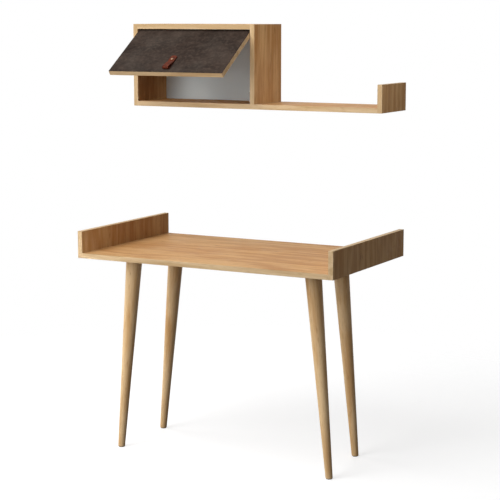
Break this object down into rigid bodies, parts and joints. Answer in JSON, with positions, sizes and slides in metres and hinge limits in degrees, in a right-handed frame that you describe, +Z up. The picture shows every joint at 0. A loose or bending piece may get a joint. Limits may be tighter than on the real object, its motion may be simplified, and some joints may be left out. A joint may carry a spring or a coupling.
{
  "type": "study desk",
  "caption": "Oak-veneered study desk on splayed tapered legs, with a matching wall unit: open shelf and a cabinet whose dark flap swings up on friction pivots.",
  "frame": {"origin": "on the floor, under the middle of the desk's outline", "axes": "+Z up; +X to the right and +Y to the wall for someone sitting at the desk"},
  "size_m": [1, 0.59, 1.537],
  "materials": {
    "oak_board": "matt oak veneer on board",
    "oak_leg": "oiled solid oak",
    "white_back": "white lacquered hardboard",
    "dark_laminate": "mottled stone-look laminate",
    "black_steel": "black powder coat",
    "zinc_steel": "zinc plated",
    "cast_zinc": "die-cast",
    "beech_dowel": "raw beech",
    "felt_pad": "pressed felt",
    "tan_leather": "vegetable tanned",
    "pull_rivet": "aged brass",
    "grey_plastic": "moulded",
    "magnet_block": "sintered ferrite"
  },
  "bodies": {
    "desk_and_wall_unit": {"desktop_panel": "oak_board", "left_side_panel": "oak_board", "right_side_panel": "oak_board", "front_left_leg": "oak_leg", "front_right_leg": "oak_leg", "rear_left_leg": "oak_leg", "rear_right_leg": "oak_leg", "front_left_leg_plate": "black_steel", "front_right_leg_plate": "black_steel", "rear_left_leg_plate": "black_steel", "rear_right_leg_plate": "black_steel", "front_left_glide": "felt_pad", "front_right_glide": "felt_pad", "rear_left_glide": "felt_pad", "rear_right_glide": "felt_pad", "leg_hanger_bolts": "zinc_steel", "leg_plate_screws": "zinc_steel", "desk_dowels": "beech_dowel", "desk_cam_bolts": "zinc_steel", "desk_cams": "cast_zinc", "cabinet_left_side": "oak_board", "cabinet_top": "oak_board", "partition": "oak_board", "shelf_board": "oak_board", "end_upright": "oak_board", "back_panel": "white_back", "partition_screws": "zinc_steel", "wall_unit_dowels": "beech_dowel", "wall_unit_cam_bolts": "zinc_steel", "wall_unit_cams": "cast_zinc", "left_hanger_plate": "zinc_steel", "middle_hanger_plate": "zinc_steel", "right_hanger_plate": "zinc_steel", "hanger_screws": "zinc_steel", "left_pivot_sleeve": "grey_plastic", "right_pivot_sleeve": "grey_plastic", "catch_housing": "grey_plastic", "catch_magnet": "magnet_block", "catch_screws": "zinc_steel"},
    "flap": {"flap_panel": "oak_board", "flap_front_laminate": "dark_laminate", "left_pivot_pin": "zinc_steel", "right_pivot_pin": "zinc_steel", "leather_pull": "tan_leather", "pull_screw": "pull_rivet", "strike_plate": "zinc_steel", "strike_screw": "zinc_steel"}
  },
  "joints": [
    {"name": "flap_hinge", "type": "hinge", "parent": "desk_and_wall_unit", "child": "flap", "pos_m": [-0.247, 0.094, 1.5035], "axis": [-1, 0, 0], "range_deg": [-55.5, 34.5]}
  ]
}
